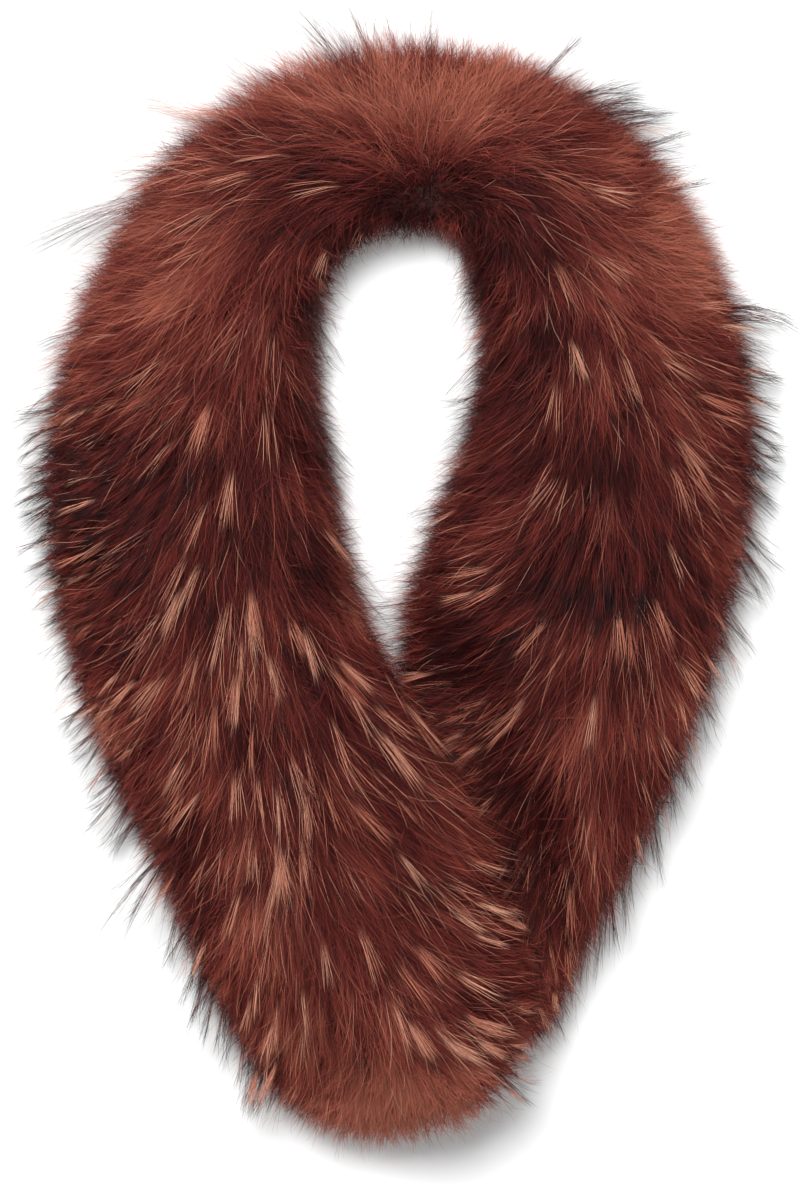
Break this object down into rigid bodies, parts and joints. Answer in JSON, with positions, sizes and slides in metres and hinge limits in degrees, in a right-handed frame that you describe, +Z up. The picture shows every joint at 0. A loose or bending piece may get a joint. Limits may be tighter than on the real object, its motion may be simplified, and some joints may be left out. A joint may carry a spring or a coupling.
{
  "type": "fur collar wrap",
  "caption": "Dyed long-haired fur collar laid flat as a teardrop loop, left front crossed over the right.",
  "frame": {"origin": "centre of the collar's footprint, on the surface that it lies on", "axes": "+X to the right seen from above, +Y towards the back of the neck, +Z up from the surface"},
  "size_m": [0.3754, 0.5586, 0.0716],
  "materials": {
    "fur": "long dyed hair, pale banded tufts with black tips",
    "skin": "dyed suede, the flesh side of the pelt"
  },
  "bodies": {
    "root": {"pelt_left": "fur", "pelt_right": "fur"}
  },
  "joints": []
}
